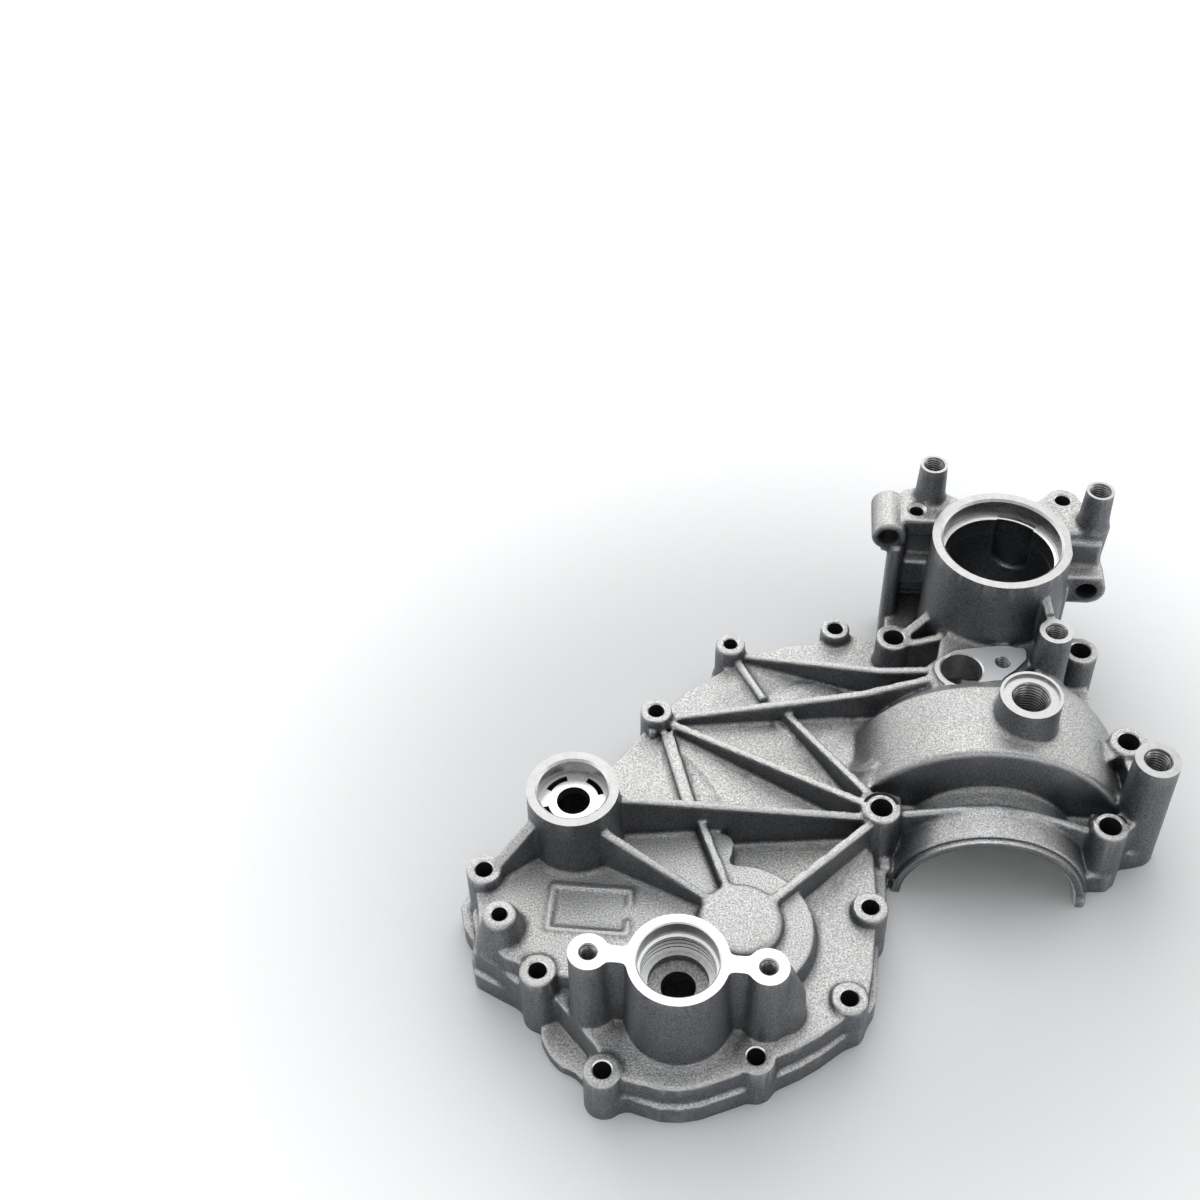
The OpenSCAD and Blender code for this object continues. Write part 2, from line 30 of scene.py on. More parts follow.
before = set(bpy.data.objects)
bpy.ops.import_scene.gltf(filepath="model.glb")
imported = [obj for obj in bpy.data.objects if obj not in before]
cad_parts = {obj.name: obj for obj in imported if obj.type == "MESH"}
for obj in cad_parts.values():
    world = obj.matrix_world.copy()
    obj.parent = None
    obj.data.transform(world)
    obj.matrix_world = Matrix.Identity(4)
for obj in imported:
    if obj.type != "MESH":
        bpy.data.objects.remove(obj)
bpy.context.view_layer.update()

# ---------------------------------------------------------------- sizes shared by the cuts
RING_TOP = 58.5
TOWER_TOP = 77.0
TOWER_PLATE = 73.0
POST_TOP = 91.0
PAD_TOP = 46.0
PLUG_FACE = 66.6
RING_A = (-113.3, -73.7)
RING_B = (-157.3, -6.0)
TOWER = (2.9, 118.6)
EARS = [(-143.7, -73.5), (-83.1, -73.9)]
POSTS = [(-24.7, 146.7), (40.6, 135.0)]
SIDE_BOSS = (56.4, 27.1, 55.6)
NEAR_BOSS = (23.4, 82.6, 63.0)
PLUG = (10.1, 44.5)
PAD_HOLE = (-11.4, 75.3)
PAD_SCREW = (5.0, 80.1)
DOWEL_HOLE = (30.0, 148.6)
PIN_HOLE = (-30.1, 138.6)
SEAT_R = 32.5
# lug bores along Y: centre and length
SIDE_LUGS = [((-41.2, 138.6, 66.4), 22.0), ((40.6, 125.3, 49.8), 13.0)]
# case bolt holes: x, y, top of the boss, hole radius
CASE_BOLTS = [
    (-188.5, -29.0, 36.5, 3.3), (-178.8, -51.0, 42.0, 2.9), (-163.6, -66.4, 32.0, 3.3),
    (-137.6, -97.2, 22.6, 3.3), (-85.5, -86.7, 21.3, 3.3), (-53.8, -62.3, 23.0, 3.3),
    (-46.5, -26.1, 26.0, 3.3), (-42.7, 13.0, 34.5, 4.2), (42.1, 13.0, 32.5, 4.2),
    (52.1, 49.9, 38.0, 4.2), (-60.2, 112.6, 26.0, 3.3), (-36.8, 99.6, 36.5, 4.2),
    (38.8, 98.0, 36.5, 4.2), (-132.3, 58.0, 29.3, 3.3), (-104.2, 97.4, 29.0, 2.9),
]
SEAT_BOLTS = CASE_BOLTS[7:9]

# threads: core radius, major radius, pitch and radius at the mouth
THREAD_M14 = (6.4, 7.0, 1.5, 7.3)
THREAD_M10 = (4.35, 5.0, 1.5, 5.4)
THREAD_M8 = (3.45, 4.0, 1.25, 4.4)
THREAD_M6 = (2.55, 3.0, 1.0, 3.4)
THREAD_M6_PAD = (2.5, 3.0, 1.0, 3.2)

# metal that the machining takes away, on wide faces and on small bosses
STOCK = 1.6
BOSS_STOCK = 1.4
# triangles of the blank before the machining cuts; keeps the finished casting under
# 200,000 triangles
BLANK_TRIANGLES = 118000

# camera fitted to the round holes in the photograph: metres, degrees and pixels of the photograph
CAMERA_PLACE = (-0.0923, -0.3485, 0.515)
CAMERA_FORWARD = (-0.1030, 0.6893, -0.7171)
CAMERA_RIGHT = (0.98902, 0.14781, 0.0)
CAMERA_ROLL = 2.98
FOCAL_PX = 1555.0
PHOTO_PX = 1200.0


# ---------------------------------------------------------------- shader groups and finishes
def add_socket(group, name, kind, default=None, output=False):
    socket = group.interface.new_socket(name, in_out="OUTPUT" if output else "INPUT", socket_type=kind)
    if default is not None:
        socket.default_value = default


def connect(tree, socket, value):
    """Feeds a socket from another node's output, or sets it to a constant."""
    if isinstance(value, bpy.types.NodeSocket):
        tree.links.new(value, socket)
    else:
        socket.default_value = value


def calculated(tree, operation, a, b, clamp=False):
    node = tree.nodes.new("ShaderNodeMath")
    node.operation = operation
    node.use_clamp = clamp
    connect(tree, node.inputs[0], a)
    connect(tree, node.inputs[1], b)
    return node.outputs["Value"]


def ranged(tree, value, low, high, to_low=0.0, to_high=1.0, smooth=False):
    """Maps value from low..high to to_low..to_high."""
    node = tree.nodes.new("ShaderNodeMapRange")
    if smooth:
        node.interpolation_type = "SMOOTHSTEP"
    for name, bound in (("From Min", low), ("From Max", high), ("To Min", to_low), ("To Max", to_high)):
        node.inputs[name].default_value = bound
    connect(tree, node.inputs["Value"], value)
    return node.outputs["Result"]


def mixed(tree, factor, a, b, blend="MIX"):
    node = tree.nodes.new("ShaderNodeMix")
    node.data_type = "RGBA"
    node.blend_type = blend
    for name, value in (("Factor", factor), ("A", a), ("B", b)):
        connect(tree, node.inputs[name], value)
    return node.outputs["Result"]


def noise(tree, scale, detail, roughness=0.5):
    """Noise in the part's own frame."""
    place = tree.nodes.new("ShaderNodeTexCoord")
    node = tree.nodes.new("ShaderNodeTexNoise")
    node.inputs["Detail"].default_value = detail
    node.inputs["Roughness"].default_value = roughness
    connect(tree, node.inputs["Scale"], scale)
    connect(tree, node.inputs["Vector"], place.outputs["Object"])
    return node.outputs["Fac"]


def colour_ramp(tree, value, *stops):
    """Colour ramp from (position, colour) stops."""
    node = tree.nodes.new("ShaderNodeValToRGB")
    ramp = node.color_ramp
    ends = [ramp.elements[0], ramp.elements[1]]
    ends[0].position, ends[0].color = stops[0][0], (*stops[0][1], 1)
    ends[1].position, ends[1].color = stops[-1][0], (*stops[-1][1], 1)
    for position, colour in stops[1:-1]:
        ramp.elements.new(position).color = (*colour, 1)
    connect(tree, node.inputs["Fac"], value)
    return node.outputs["Color"]


def sand_grain_group():
    """Grain of a sand-like cast skin: fine speckle, larger stains and a height for the bump."""
    group = bpy.data.node_groups.new("Cast_Skin_Grain", "ShaderNodeTree")
    add_socket(group, "Grain Size", "NodeSocketFloat", 1500.0)
    add_socket(group, "Speckle", "NodeSocketFloat", 0.5)
    add_socket(group, "Colour", "NodeSocketColor", output=True)
    add_socket(group, "Height", "NodeSocketFloat", output=True)
    add_socket(group, "Roughness", "NodeSocketFloat", output=True)
    inp, out = group.nodes.new("NodeGroupInput"), group.nodes.new("NodeGroupOutput")
    height = ranged(group, noise(group, inp.outputs["Grain Size"], 2.0, 0.65), 0.33, 0.67)
    stain = noise(group, 38.0, 5.0, 0.6)
    middle = (0.56, 0.556, 0.545)
    grain = colour_ramp(group, height, (0.0, (0.23, 0.23, 0.235)), (0.5, middle), (1.0, (0.92, 0.91, 0.88)))
    tone = colour_ramp(group, stain, (0.32, (0.86, 0.87, 0.90)), (0.68, (1.0, 0.985, 0.955)))
    stained = mixed(group, 1.0, grain, tone, "MULTIPLY")
    connect(group, out.inputs["Colour"], mixed(group, inp.outputs["Speckle"], (*middle, 1), stained))
    connect(group, out.inputs["Height"], height)
    connect(group, out.inputs["Roughness"], ranged(group, stain, 0.0, 1.0, 0.34, 0.50))
    return group


def edge_highlight_corner_shade_group():
    """Painted highlight on outer edges and painted shade in inner corners, from the surface's own curvature."""
    group = bpy.data.node_groups.new("Edge_Highlight_Corner_Shade", "ShaderNodeTree")
    add_socket(group, "Colour", "NodeSocketColor", (0.5, 0.5, 0.5, 1))
    add_socket(group, "Edge Light", "NodeSocketFloat", 0.35)
    add_socket(group, "Corner Shade", "NodeSocketFloat", 0.45)
    add_socket(group, "Colour", "NodeSocketColor", output=True)
    inp, out = group.nodes.new("NodeGroupInput"), group.nodes.new("NodeGroupOutput")
    bend = group.nodes.new("ShaderNodeAttribute")
    bend.attribute_name = "bend"
    outward = ranged(group, bend.outputs["Fac"], 0.55, 0.85)
    inward = ranged(group, bend.outputs["Fac"], 0.45, 0.15)
    edges = calculated(group, "MULTIPLY", outward, inp.outputs["Edge Light"])
    corners = calculated(group, "MULTIPLY", inward, inp.outputs["Corner Shade"])
    # painted highlight: outer edges turn lighter
    lighter = mixed(group, edges, inp.outputs["Colour"], (0.72, 0.72, 0.71, 1))
    # painted shade: inner corners turn towards near black
    connect(group, out.inputs["Colour"], mixed(group, corners, lighter, (0.05, 0.05, 0.055, 1)))
    return group


def painted_wall_shade_group():
    """Painted shade: upright walls get a darker, bluer colour than the flat faces."""
    group = bpy.data.node_groups.new("Painted_Wall_Shade", "ShaderNodeTree")
    add_socket(group, "Colour", "NodeSocketColor", (0.5, 0.5, 0.5, 1))
    add_socket(group, "Wall Shade", "NodeSocketColor", (0.6, 0.62, 0.67, 1))
    add_socket(group, "Colour", "NodeSocketColor", output=True)
    inp, out = group.nodes.new("NodeGroupInput"), group.nodes.new("NodeGroupOutput")
    shape = group.nodes.new("ShaderNodeNewGeometry")
    part = group.nodes.new("ShaderNodeSeparateXYZ")
    connect(group, part.inputs["Vector"], shape.outputs["Normal"])
    # the more upright the face, the more painted wall shade it takes
    upright = ranged(group, part.outputs["Z"], 0.93, 0.25, smooth=True)
    shaded_walls = mixed(group, upright, inp.outputs["Colour"], inp.outputs["Wall Shade"], "MULTIPLY")
    connect(group, out.inputs["Colour"], shaded_walls)
    return group


def new_finish(name):
    mat = bpy.data.materials.new(name)
    mat.use_nodes = True
    return mat, mat.node_tree, mat.node_tree.nodes["Principled BSDF"]


def cast_finish():
    mat, tree, shader = new_finish("As_Cast_Aluminium")
    # grain of the skin, then painted wall shade, then painted edge highlight and corner shade
    skin, wall, edge_highlight_shade = (tree.nodes.new("ShaderNodeGroup") for _ in range(3))
    skin.node_tree, wall.node_tree, edge_highlight_shade.node_tree = sand_grain_group(), painted_wall_shade_group(), edge_highlight_corner_shade_group()
    skin.inputs["Grain Size"].default_value = 1500.0
    skin.inputs["Speckle"].default_value = 0.78
    # colour multiplied into upright walls: painted shade
    wall.inputs["Wall Shade"].default_value = (0.29, 0.305, 0.335, 1)
    # strength of the painted edge highlight and of the painted corner shade
    edge_highlight_shade.inputs["Edge Light"].default_value = 0.42
    edge_highlight_shade.inputs["Corner Shade"].default_value = 0.72
    connect(tree, wall.inputs["Colour"], skin.outputs["Colour"])
    connect(tree, edge_highlight_shade.inputs["Colour"], wall.outputs["Colour"])
    connect(tree, shader.inputs["Base Color"], edge_highlight_shade.outputs["Colour"])
    connect(tree, shader.inputs["Roughness"], skin.outputs["Roughness"])
    bump = tree.nodes.new("ShaderNodeBump")
    bump.inputs["Strength"].default_value = 0.35
    bump.inputs["Distance"].default_value = 0.22 * MM
    connect(tree, bump.inputs["Height"], skin.outputs["Height"])
    connect(tree, shader.inputs["Normal"], bump.outputs["Normal"])
    shader.inputs["Metallic"].default_value = 0.80
    return mat


def machined_finish(name, dull, bright):
    """Cut metal between a dull and a bright tone, with faint streaks."""
    mat, tree, shader = new_finish(name)
    streak = noise(tree, 420.0, 3.0)
    tone = colour_ramp(tree, streak, (0.3, (dull, dull, dull * 0.985)), (0.7, (bright, bright, bright * 0.99)))
    connect(tree, shader.inputs["Base Color"], tone)
    connect(tree, shader.inputs["Roughness"], ranged(tree, streak, 0.0, 1.0, 0.22, 0.36))
    shader.inputs["Metallic"].default_value = 0.75
    return mat


def plain_finish(name, colour, metallic, roughness):
    mat, tree, shader = new_finish(name)
    shader.inputs["Base Color"].default_value = (*colour, 1)
    shader.inputs["Metallic"].default_value = metallic
    shader.inputs["Roughness"].default_value = roughness
    return mat


def floor_finish():
    """White to the eye and in reflections, darker for the light it throws back on the casting.
    It glows more and more away from the casting, so that the backdrop is white and the shadow stays."""
    mat, tree, shader = new_finish("Pale_Floor")
    path = tree.nodes.new("ShaderNodeLightPath")
    seen = calculated(tree, "ADD", path.outputs["Is Camera Ray"], path.outputs["Is Glossy Ray"])
    seen = calculated(tree, "ADD", seen, path.outputs["Is Transmission Ray"], clamp=True)
    tone = mixed(tree, seen, (0.42, 0.42, 0.42, 1), (0.97, 0.97, 0.97, 1))
    place = tree.nodes.new("ShaderNodeTexCoord")
    far = tree.nodes.new("ShaderNodeVectorMath")
    far.operation = "DISTANCE"
    middle_of_casting = (-0.067, 0.025, 0)
    far.inputs[1].default_value = middle_of_casting
    connect(tree, far.inputs[0], place.outputs["Object"])
    around = ranged(tree, far.outputs["Value"], 0.10, 0.28, smooth=True)
    backdrop = ranged(tree, far.outputs["Value"], 0.7, 2.4, 0.34, 1.0, smooth=True)
    glow = calculated(tree, "MULTIPLY", calculated(tree, "MULTIPLY", around, seen), backdrop)
    connect(tree, shader.inputs["Base Color"], tone)
    connect(tree, shader.inputs["Emission Strength"], glow)
    shader.inputs["Emission Color"].default_value = (1, 1, 1, 1)
    shader.inputs["Roughness"].default_value = 0.9
    shader.inputs["Specular IOR Level"].default_value = 0.1
    return mat


# ---------------------------------------------------------------- mesh helpers
def new_object(name, mesh):
    obj = bpy.data.objects.new(name, mesh)
    bpy.context.scene.collection.objects.link(obj)
    return obj


def applied(obj):
    """Applies the object's modifiers to its mesh."""
    bpy.context.view_layer.update()
    graph = bpy.context.evaluated_depsgraph_get()
    mesh = bpy.data.meshes.new_from_object(obj.evaluated_get(graph), depsgraph=graph)
    obj.modifiers.clear()
    old = obj.data
    obj.data = mesh
    bpy.data.meshes.remove(old)


def arc_points(x, y, r, start, sweep, steps):
    """Points of an arc in mm, from start over sweep in degrees."""
    angles = [math.radians(start + sweep * i / steps) for i in range(steps + 1)]
    return [(x + r * math.cos(a), y + r * math.sin(a)) for a in angles]


def arc_band(x, y, inner_r, outer_r, start, sweep, steps):
    """Outline of the band between two arcs."""
    return arc_points(x, y, outer_r, start, sweep, steps) + arc_points(x, y, inner_r, start, sweep, steps)[::-1]


def ring_of_points(bm, x, y, radii, h):
    """Closed ring round (x, y) at height h, with a point for each radius, all in mm."""
    ring = []
    for i, r in enumerate(radii):
        a = 2 * math.pi * i / len(radii)
        ring.append(bm.verts.new(((x + r * math.cos(a)) * MM, (y + r * math.sin(a)) * MM, h * MM)))
    return ring


def wall(bm, low, high, kind=0):
    """Faces between two closed rings of points."""
    for i in range(len(low)):
        j = (i + 1) % len(low)
        bm.faces.new((low[i], low[j], high[j], high[i])).material_index = kind


def prism(bm, low, high, kind=0):
    """Closed body between two rings of points."""
    wall(bm, low, high, kind)
    bm.faces.new(low[::-1]).material_index = kind
    bm.faces.new(high).material_index = kind


def lathe(bm, profile, x, y, steps=64, levels=()):
    """Closed turned body. profile runs from low to high as (radius, height) in mm; it gets flat ends.
    levels lists (height, finish number): faces under that height take that finish of the body."""
    def kind_at(h):
        return ([0] + [number for height, number in levels if h < height])[-1]

    rings = [ring_of_points(bm, x, y, [r] * steps, h) for r, h in profile]
    heights = [h for r, h in profile]
    for low, high, z_low, z_high in zip(rings, rings[1:], heights, heights[1:]):
        wall(bm, low, high, kind_at(0.5 * (z_low + z_high)))
    bm.faces.new(rings[0][::-1]).material_index = kind_at(heights[0])
    bm.faces.new(rings[-1]).material_index = kind_at(heights[-1])


def thread_cutter(bm, x, y, z_low, z_high, core_r, major_r, pitch, mouth_r, rows=7, steps=40):
    """Tap-shaped cutter: a helical ridge on a core, with a cone at the foot and a chamfer at the mouth."""
    heights = list(np.arange(z_low, z_high - 0.001, pitch / rows)) + [z_high]
    rings = []
    for h in heights:
        fade = max(0.0, min(1.0, (h - z_low) / (2 * pitch)))
        lead = mouth_r - (z_high - h)
        radii = []
        for i in range(steps):
            phase = (h / pitch - i / steps) % 1.0
            # flat crest and root with sloping flanks between them
            tooth = max(0.0, min(1.0, 1.22 - 2.6 * abs(phase - 0.5)))
            radii.append(max(core_r + (major_r - core_r) * tooth * fade, lead))
        rings.append(ring_of_points(bm, x, y, radii, h))
    rings.append(ring_of_points(bm, x, y, [mouth_r] * steps, z_high + 2.0))
    for h, low, high in zip(heights, rings, rings[1:]):
        for i in range(steps):
            j = (i + 1) % steps
            phase = ((h + 0.5 * pitch / rows) / pitch - (i + 0.5) / steps) % 1.0
            # root faces take finish 1, which paints shade into the thread roots
            root = 1 if abs(phase - 0.5) < 0.27 and h < z_high - 0.3 else 0
            bm.faces.new((low[i], low[j], high[j])).material_index = root
            bm.faces.new((low[i], high[j], high[i])).material_index = root
    tip = bm.verts.new((x * MM, y * MM, (z_low - core_r * 0.55) * MM))
    for i in range(steps):
        bm.faces.new((rings[0][(i + 1) % steps], rings[0][i], tip))
    bm.faces.new(rings[-1])


def turned_about_y(bm, before, centre):
    """Turns what was made since `before` from the Z axis to the Y axis, about centre in mm."""
    c = Vector(centre) * MM
    turn = Matrix.Translation(c) @ Matrix.Rotation(math.radians(-90), 4, "X") @ Matrix.Translation(-c)
    bm.verts.ensure_lookup_table()
    for v in list(bm.verts)[before:]:
        v.co = turn @ v.co


def laid_along_y(bm, before=0):
    """Swaps Y and Z of what was made since `before`, so that a body made along Z lies along Y."""
    bm.verts.ensure_lookup_table()
    for v in list(bm.verts)[before:]:
        v.co = Vector((v.co.x, v.co.z, v.co.y))


def extruded(bm, points, z_low, z_high, kind=0):
    """Straight-walled body over an outline given in mm, in the finish of that number."""
    low, high = ([bm.verts.new((px * MM, py * MM, z * MM)) for px, py in points] for z in (z_low, z_high))
    prism(bm, low, high, kind)


def to_object(name, bm):
    """New object from a bmesh, with all faces turned outwards."""
    bmesh.ops.recalc_face_normals(bm, faces=bm.faces)
    mesh = bpy.data.meshes.new(name)
    bm.to_mesh(mesh)
    bm.free()
    return new_object(name, mesh)


# ---------------------------------------------------------------- the rough casting
def solid_cylinder(bm, x, y, r, z_low, z_high, steps=64):
    lathe(bm, [(r, z_low), (r, z_high)], x, y, steps)


def bar(bm, p, q, width, z_low, z_high):
    """Straight bar of that width from p to q."""
    d = Vector((q[0] - p[0], q[1] - p[1]))
    side = Vector((-d.y, d.x)).normalized() * (width / 2)
    corners = [(p[0] - side.x, p[1] - side.y), (q[0] - side.x, q[1] - side.y),
               (q[0] + side.x, q[1] + side.y), (p[0] + side.x, p[1] + side.y)]
    extruded(bm, corners, z_low, z_high)


# outline of the milled pad behind the dome
PAD_OUTLINE = [
    (-22.2, 73.7), (-22.0, 77.4), (-19.8, 80.3), (-15.0, 84.0), (-8.4, 86.4), (-1.6, 87.8), (6.0, 87.9),
    (13.6, 88.6), (14.8, 86.2), (13.6, 82.0), (9.8, 76.6), (4.4, 71.6), (-2.8, 68.4), (-12.6, 66.0), (-17.0, 66.4),
    (-20.3, 68.6),
]

# edge of the sunk field of the low plate
LOW_FIELD_EDGE = [
    (-127.0, 50.6), (-121.6, 44.5), (-112.9, 35.5), (-108.6, 29.4), (-104.2, 22.4), (-101.6, 15.0),
    (-100.6, 3.4),
]


def rough_stock():
    """Metal that the machining later takes away: plugs in the bores and stock on the machined tops."""
    bm = bmesh.new()
    solid_cylinder(bm, *RING_A, 17.6, 37.0, RING_TOP + STOCK)
    for ear in EARS:
        solid_cylinder(bm, *ear, 7.1, 39.0, RING_TOP + STOCK, 40)
        bar(bm, ear, RING_A, 6.4, 50.0, RING_TOP + STOCK)
    solid_cylinder(bm, *RING_B, 17.1, 47.5, RING_TOP + STOCK)
    solid_cylinder(bm, *TOWER, 27.8, 66.0, TOWER_TOP + STOCK, 96)
    solid_cylinder(bm, *PLUG, 11.7, 52.0, 69.6)
    for x, y, top in (SIDE_BOSS, NEAR_BOSS):
        solid_cylinder(bm, x, y, 8.5 if top < 60 else 6.56, top - 28.0, top + BOSS_STOCK, 48)
    for post in POSTS:
        solid_cylinder(bm, *post, 5.6, 69.0, POST_TOP + BOSS_STOCK, 40)
    extruded(bm, PAD_OUTLINE, 38.0, PAD_TOP + 1.3)
    for x, y, top, hole_r in CASE_BOLTS:
        solid_cylinder(bm, x, y, hole_r + 0.5, -2.0, top - 0.01, 32)
    solid_cylinder(bm, *DOWEL_HOLE, 3.8, 50.0, TOWER_PLATE, 32)
    solid_cylinder(bm, *PIN_HOLE, 3.5, 58.0, TOWER_PLATE, 32)
    # half round stock in the shaft seat
    before = len(bm.verts)
    r = SEAT_R + 0.9
    extruded(bm, arc_points(0, 0, r, 0, 180, 48) + [(-r, -2), (r, -2)], -1.3, 29.8)
    laid_along_y(bm, before)
    # plugs in the two side lugs
    for centre, length in SIDE_LUGS:
        before = len(bm.verts)
        lathe(bm, [(4.5, centre[2] - length / 2), (4.5, centre[2] + length / 2)], centre[0], centre[1], 32)
        turned_about_y(bm, before, centre)
    return bm


def positions(mesh):
    co = np.zeros(len(mesh.vertices) * 3, np.float32)
    mesh.vertices.foreach_get("co", co)
    return co.reshape(-1, 3)


def vertex_normals(mesh):
    normal = np.zeros(len(mesh.vertices) * 3, np.float32)
    mesh.vertices.foreach_get("normal", normal)
    return normal.reshape(-1, 3).astype(float)


def neighbour_mean(co, a, b, degree):
    """Mean place of the neighbours of each point; a and b are the ends of the edges."""
    total = np.zeros_like(co)
    for axis in range(3):
        total[:, axis] = np.bincount(a, co[b, axis], len(co)) + np.bincount(b, co[a, axis], len(co))
    return total / degree[:, None]


def fine_relief(mm):
    """True on the thin bead round the label field and on the shallow steps of the low plate."""
    x, y, z = mm.T
    fine = (x > -166) & (x < -131.5) & (y > -50) & (y < -26.5) & (z > 28.5) & (z < 32.5)
    low = (z > 18.5) & (z < 22.3)
    reach = 2.2
    for cx, cy, r in ((-69.5, 69.5, 15.8), (-133.2, 51.2, 1.2)):
        fine |= low & (abs(np.hypot(x - cx, y - cy) - r) < reach)
    for p, q in zip(LOW_FIELD_EDGE, LOW_FIELD_EDGE[1:]):
        along = np.array(q) - p
        t = np.clip((mm[:, :2] - p) @ along / (along @ along), 0, 1)[:, None]
        fine |= low & (np.linalg.norm(mm[:, :2] - p - t * along, axis=1) < reach)
    return fine


def edge_rates(mm):
    """How fast outer edges round off: fast on the rims of the domed pad and the lobe beside the right ear."""
    x, y, z = mm.T
    rates = np.full(len(mm), 0.12)
    for cx, cy, near, far, z_low, z_high in ((-93.6, -41.1, 10, 17.5, 31.5, 36), (-77.6, -69.7, 0, 11, 31.5, 54)):
        away = np.hypot(x - cx, y - cy)
        rates[(away > near) & (away < far) & (z > z_low) & (z < z_high)] = 0.75
    return rates


def stocked_skin(node, voxel):
    """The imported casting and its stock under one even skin, with metal below the joint face to mill off."""
    mesh = node.data.copy()
    blank = new_object("casting_blank", mesh)
    co = positions(mesh)
    co[co[:, 2] < 0.02 * MM, 2] = -2.0 * MM
    mesh.vertices.foreach_set("co", co.ravel())
    stock = to_object("stock", rough_stock())
    bm = bmesh.new()
    bm.from_mesh(mesh)
    bm.from_mesh(stock.data)
    bm.to_mesh(mesh)
    bm.free()
    bpy.data.objects.remove(stock)
    skin = blank.modifiers.new("skin", "REMESH")
    skin.mode = "VOXEL"
    skin.voxel_size = voxel
    skin.adaptivity = 0.0
    applied(blank)
    return blank


def cast_blank(node, voxel=0.65 * MM, rounds=14):
    """Rough casting with cast fillets in the corners and softer edges, with its points and their bend."""
    blank = stocked_skin(node, voxel)
    mesh = blank.data
    co = positions(mesh).astype(float)
    edges = np.zeros(len(mesh.edges) * 2, np.int32)
    mesh.edges.foreach_get("vertices", edges)
    a, b = edges[0::2], edges[1::2]
    degree = np.maximum(np.bincount(a, minlength=len(co)) + np.bincount(b, minlength=len(co)), 1)
    mm = co / MM
    keep = np.where(fine_relief(mm), 0.22, 1.0)[:, None]
    edge_rate, corner_rate = edge_rates(mm), 0.62
    for step in range(rounds):
        move = (neighbour_mean(co, a, b, degree) - co) * keep
        if step < 2:
            co += 0.5 * move
        else:
            outward = np.einsum("ij,ij->i", move, vertex_normals(mesh))
            co += np.where(outward > 0, corner_rate, edge_rate)[:, None] * move
        mesh.vertices.foreach_set("co", co.astype(np.float32).ravel())
        mesh.update()
    # signed bend of the skin over a few millimetres, kept for the finish's painted edge highlight and corner shade
    wide = co.copy()
    for _ in range(6):
        wide += 0.6 * (neighbour_mean(wide, a, b, degree) - wide)
    bend = -np.einsum("ij,ij->i", wide - co, vertex_normals(mesh))
    return blank, co, np.clip(0.5 + bend / (0.5 * MM), 0, 1)


def decimated(obj, triangles):
    count = sum(len(p.vertices) - 2 for p in obj.data.polygons)
    if count > triangles:
        fewer = obj.modifiers.new("fewer", "DECIMATE")
        fewer.ratio = triangles / count
        applied(obj)


# ---------------------------------------------------------------- machining
def hole_profile(r, z_low, z_high, chamfer):
    """Bore with a chamfer at its upper rim, going on into the air above."""
    return [(r, z_low), (r, z_high - chamfer), (r + chamfer, z_high), (r + chamfer, z_high + 2.5)]


def bores():
    """Cutters of the plain bores, seats and faces, one closed body each and none touching another."""
    bm = bmesh.new()
    # finishes by number: 0 machined, 1 the near-black painted bore shade, 2 cast skin, 3 the dimmer machined copy
    # that paints shade into the bores
    # front ring: face, seat, snap groove, lower seat, floor and through hole in one turned body
    seat = [(6.1, 30), (6.1, 40.4), (10.6, 40.4), (10.6, 43.6), (13.0, 43.6)]
    finish_bands = [(57.9, 3), (51.85, 0)]
    grooves = (45.0, 47.2, 49.4)
    for z in grooves:
        seat += [(13.0, z), (13.3, z + 0.1), (13.3, z + 0.45), (13.0, z + 0.55)]
    for z in reversed(grooves):
        finish_bands += [(z + 0.52, 1), (z + 0.02, 0)]
    lathe(bm, seat + [(13.0, 51.6), (14.0, 51.9), (14.0, RING_TOP - 0.5), (14.5, RING_TOP), (14.5, RING_TOP + 4)],
          *RING_A, 96, finish_bands + [(43.5, 2), (40.0, 1)])
    lathe(bm, [(6.2, 42), (6.2, 51.0), (12.2, 51.0), (12.2, 50.5), (13.0, 50.5), (13.0, RING_TOP - 0.8),
               (13.8, RING_TOP), (13.8, RING_TOP + 4)], *RING_B, 96, [(RING_TOP - 0.9, 3), (51.2, 0), (50.3, 1)])
    lathe(bm, [(21.9, 60), (21.9, 67.5), (22.9, 68.0), (23.0, 67.6), (23.6, 67.6), (23.6, 68.4), (23.5, 68.8),
               (23.5, TOWER_TOP - 0.9), (24.4, TOWER_TOP), (24.4, TOWER_TOP + 4)], *TOWER, 128,
          [(TOWER_TOP - 1.0, 3), (69.0, 0), (67.4, 2)])
    for x, y, top, hole_r in CASE_BOLTS:
        foot = [(hole_r + 0.5, -4), (hole_r + 0.5, 0), (hole_r, 0.5)]
        lathe(bm, foot + hole_profile(hole_r, 1.0, top, 0.45), x, y, 40, [(top - 0.4, 1)])
    lathe(bm, [(3.15, 52)] + hole_profile(3.15, 53, TOWER_PLATE, 0.5), *DOWEL_HOLE, 40, [(TOWER_PLATE - 0.5, 1)])
    lathe(bm, [(2.9, 59)] + hole_profile(2.9, 60, TOWER_PLATE, 1.2), *PIN_HOLE, 40, [(TOWER_PLATE - 1.2, 1)])
    lathe(bm, [(8.2, 26)] + hole_profile(8.2, 28, PAD_TOP, 0.6), *PAD_HOLE, 64, [(PAD_TOP - 0.7, 3)])
    for centre, length in SIDE_LUGS:
        before = len(bm.verts)
        half = length / 2
        z = centre[2]
        lathe(bm, [(4.5, z - half - 3), (4.5, z - half), (4.0, z - half + 0.5), (4.0, z + half - 0.5),
                   (4.5, z + half), (4.5, z + half + 3)], centre[0], centre[1], 40, [(z + half - 0.4, 1)])
        turned_about_y(bm, before, centre)
    return bm


